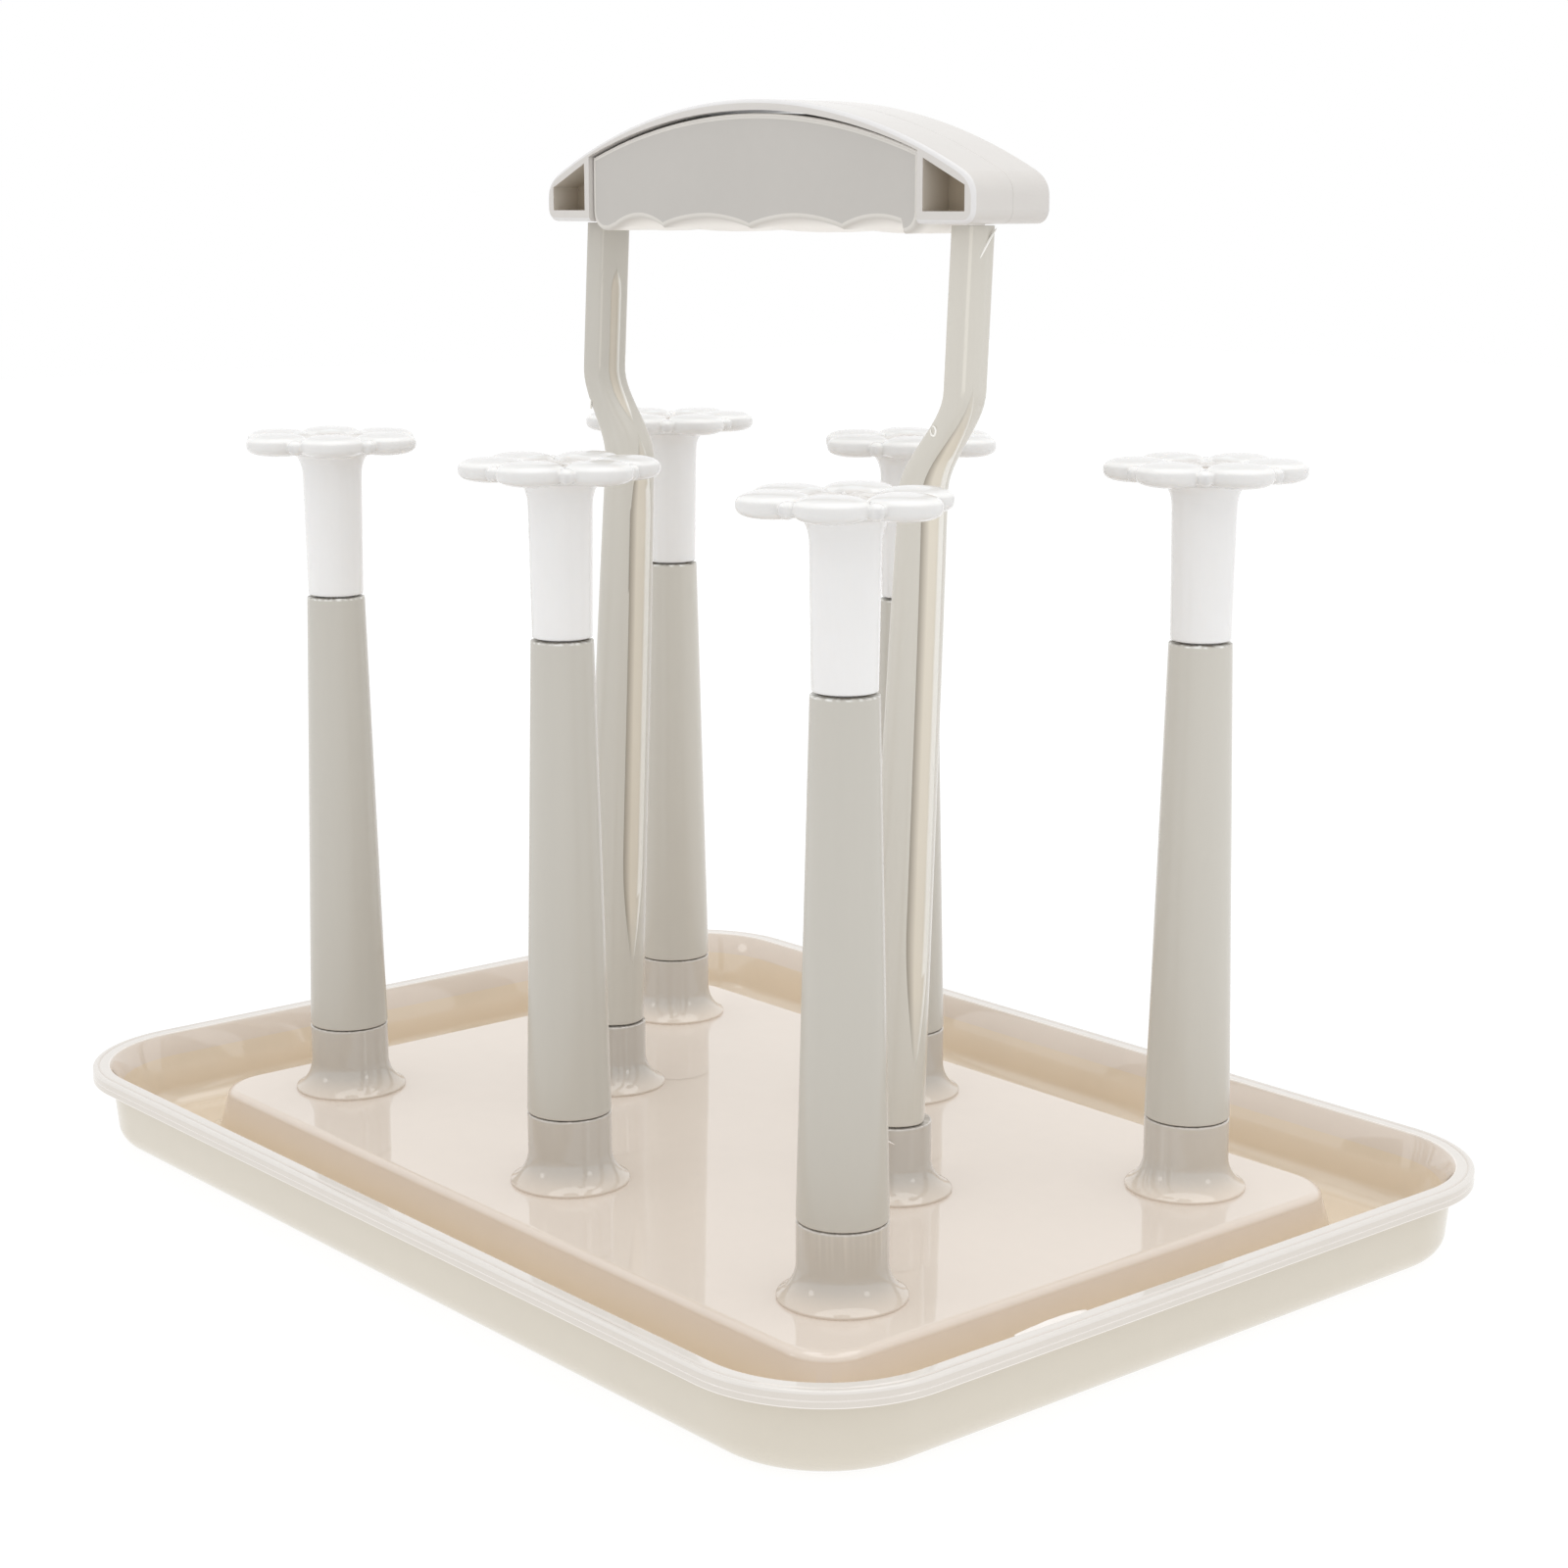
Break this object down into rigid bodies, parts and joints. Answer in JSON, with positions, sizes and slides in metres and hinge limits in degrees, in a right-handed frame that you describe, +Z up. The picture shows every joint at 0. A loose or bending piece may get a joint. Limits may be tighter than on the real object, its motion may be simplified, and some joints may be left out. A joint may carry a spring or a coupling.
{
  "type": "bottle drying rack",
  "caption": "Drip tray with upright flower-topped pegs and a lift-off carrying handle, for draining feeding bottles.",
  "frame": {"origin": "centre of the tray's underside, on the surface it stands on", "axes": "+X along the rows of three pegs and along the grip, +Y across the tray from the front row to the back row, +Z up"},
  "size_m": [0.2836, 0.2078, 0.2447],
  "materials": {
    "tray_plastic": "glossy warm cream moulded polypropylene",
    "peg_plastic": "satin warm stone grey moulded polypropylene",
    "grip_plastic": "soft satin stone grey moulded polypropylene",
    "cap_plastic": "milky translucent white soft plastic"
  },
  "bodies": {
    "tray": {"tray": "tray_plastic"},
    "handle": {"handle_post_left": "peg_plastic", "handle_post_right": "peg_plastic", "grip_core": "grip_plastic", "grip_cover": "peg_plastic"},
    "peg_1": {"peg_1": "peg_plastic"},
    "peg_2": {"peg_2": "peg_plastic"},
    "peg_3": {"peg_3": "peg_plastic"},
    "peg_4": {"peg_4": "peg_plastic"},
    "peg_5": {"peg_5": "peg_plastic"},
    "peg_6": {"peg_6": "peg_plastic"},
    "cap_1": {"flower_cap_1": "cap_plastic"},
    "cap_2": {"flower_cap_2": "cap_plastic"},
    "cap_3": {"flower_cap_3": "cap_plastic"},
    "cap_4": {"flower_cap_4": "cap_plastic"},
    "cap_5": {"flower_cap_5": "cap_plastic"},
    "cap_6": {"flower_cap_6": "cap_plastic"}
  },
  "joints": [
    {"name": "handle_lift", "type": "slide", "parent": "tray", "child": "handle", "axis": [0, 0, 1], "range_m": [0, 0.03]},
    {"name": "peg_1_lift", "type": "slide", "parent": "tray", "child": "peg_1", "axis": [0, 0, 1], "range_m": [0, 0.015]},
    {"name": "peg_2_lift", "type": "slide", "parent": "tray", "child": "peg_2", "axis": [0, 0, 1], "range_m": [0, 0.015]},
    {"name": "peg_3_lift", "type": "slide", "parent": "tray", "child": "peg_3", "axis": [0, 0, 1], "range_m": [0, 0.015]},
    {"name": "peg_4_lift", "type": "slide", "parent": "tray", "child": "peg_4", "axis": [0, 0, 1], "range_m": [0, 0.015]},
    {"name": "peg_5_lift", "type": "slide", "parent": "tray", "child": "peg_5", "axis": [0, 0, 1], "range_m": [0, 0.015]},
    {"name": "peg_6_lift", "type": "slide", "parent": "tray", "child": "peg_6", "axis": [0, 0, 1], "range_m": [0, 0.015]},
    {"name": "cap_1_lift", "type": "slide", "parent": "peg_1", "child": "cap_1", "axis": [0, 0, 1], "range_m": [0, 0.018]},
    {"name": "cap_2_lift", "type": "slide", "parent": "peg_2", "child": "cap_2", "axis": [0, 0, 1], "range_m": [0, 0.018]},
    {"name": "cap_3_lift", "type": "slide", "parent": "peg_3", "child": "cap_3", "axis": [0, 0, 1], "range_m": [0, 0.018]},
    {"name": "cap_4_lift", "type": "slide", "parent": "peg_4", "child": "cap_4", "axis": [0, 0, 1], "range_m": [0, 0.018]},
    {"name": "cap_5_lift", "type": "slide", "parent": "peg_5", "child": "cap_5", "axis": [0, 0, 1], "range_m": [0, 0.018]},
    {"name": "cap_6_lift", "type": "slide", "parent": "peg_6", "child": "cap_6", "axis": [0, 0, 1], "range_m": [0, 0.018]}
  ]
}
